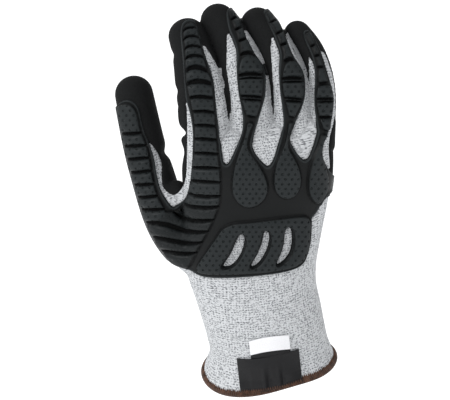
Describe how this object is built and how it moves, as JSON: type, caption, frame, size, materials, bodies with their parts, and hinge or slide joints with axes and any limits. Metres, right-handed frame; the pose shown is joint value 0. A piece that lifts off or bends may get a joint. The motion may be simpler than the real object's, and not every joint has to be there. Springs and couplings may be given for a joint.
{
  "type": "impact glove",
  "caption": "Right-hand work glove of light grey knit with a dark coated palm and a ribbed, padded impact guard over the back of the hand and fingers.",
  "frame": {"origin": "centre of the cuff's mouth, where the wrist goes in", "axes": "+Z from the mouth up the glove to the fingertips, -Y out of the back of the hand, +X towards the little finger"},
  "size_m": [0.1435, 0.0947, 0.251],
  "materials": {
    "knit": "light grey melange fine-gauge knit",
    "coating": "matt sandy nitrile dip, black",
    "guard": "charcoal thermoplastic rubber, satin, dimpled pads",
    "hem": "brown overlock stitching",
    "label": "black woven label, bare",
    "tab": "white woven tab, bare"
  },
  "bodies": {
    "root": {"knit_cuff": "knit", "knit_hand": "knit", "knit_index": "knit", "knit_middle": "knit", "knit_ring": "knit", "knit_little": "knit", "knit_thumb": "knit", "palm_coating": "coating", "back_guard": "guard", "cuff_hem": "hem", "label_patch": "label", "label_tab": "tab"}
  },
  "joints": []
}
